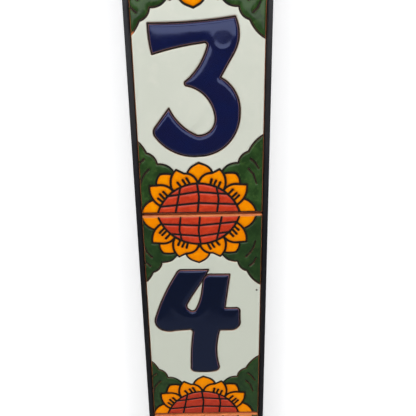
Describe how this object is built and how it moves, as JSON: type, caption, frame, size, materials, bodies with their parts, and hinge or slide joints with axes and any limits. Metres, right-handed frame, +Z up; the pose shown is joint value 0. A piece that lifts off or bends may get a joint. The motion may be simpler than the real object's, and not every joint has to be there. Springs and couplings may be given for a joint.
{
  "type": "house number plaque",
  "caption": "Upright plaque of glazed terracotta tiles with raised numerals and half sunflowers, bedded in a welded angle-iron frame that screws to a wall.",
  "frame": {"origin": "middle of the back face, halfway between the two wall screws", "axes": "+X right and +Z up as seen by a visitor; the tiles face -Y; y = 0 is the wall"},
  "size_m": [0.0842, 0.0136, 0.419],
  "materials": {
    "black_iron": "black satin paint on rolled iron",
    "adhesive": "cured construction adhesive",
    "terracotta": "bare fired clay, drawn black between the glazes",
    "white_glaze": "glossy off-white glaze",
    "green_glaze": "glossy dark green glaze",
    "yellow_glaze": "glossy orange-yellow glaze",
    "red_glaze": "glossy red glaze",
    "blue_glaze": "thick glossy cobalt blue glaze"
  },
  "bodies": {
    "root": {"left_stile": "black_iron", "right_stile": "black_iron", "top_rail": "black_iron", "bottom_rail": "black_iron", "corner_welds": "black_iron", "left_adhesive": "adhesive", "right_adhesive": "adhesive", "top_adhesive": "adhesive", "bottom_adhesive": "adhesive", "top_end_tile": "terracotta", "number_3_tile": "terracotta", "number_4_tile": "terracotta", "bottom_end_tile": "terracotta", "white_glaze": "white_glaze", "green_glaze": "green_glaze", "yellow_glaze": "yellow_glaze", "red_glaze": "red_glaze", "blue_glaze": "blue_glaze"}
  },
  "joints": []
}
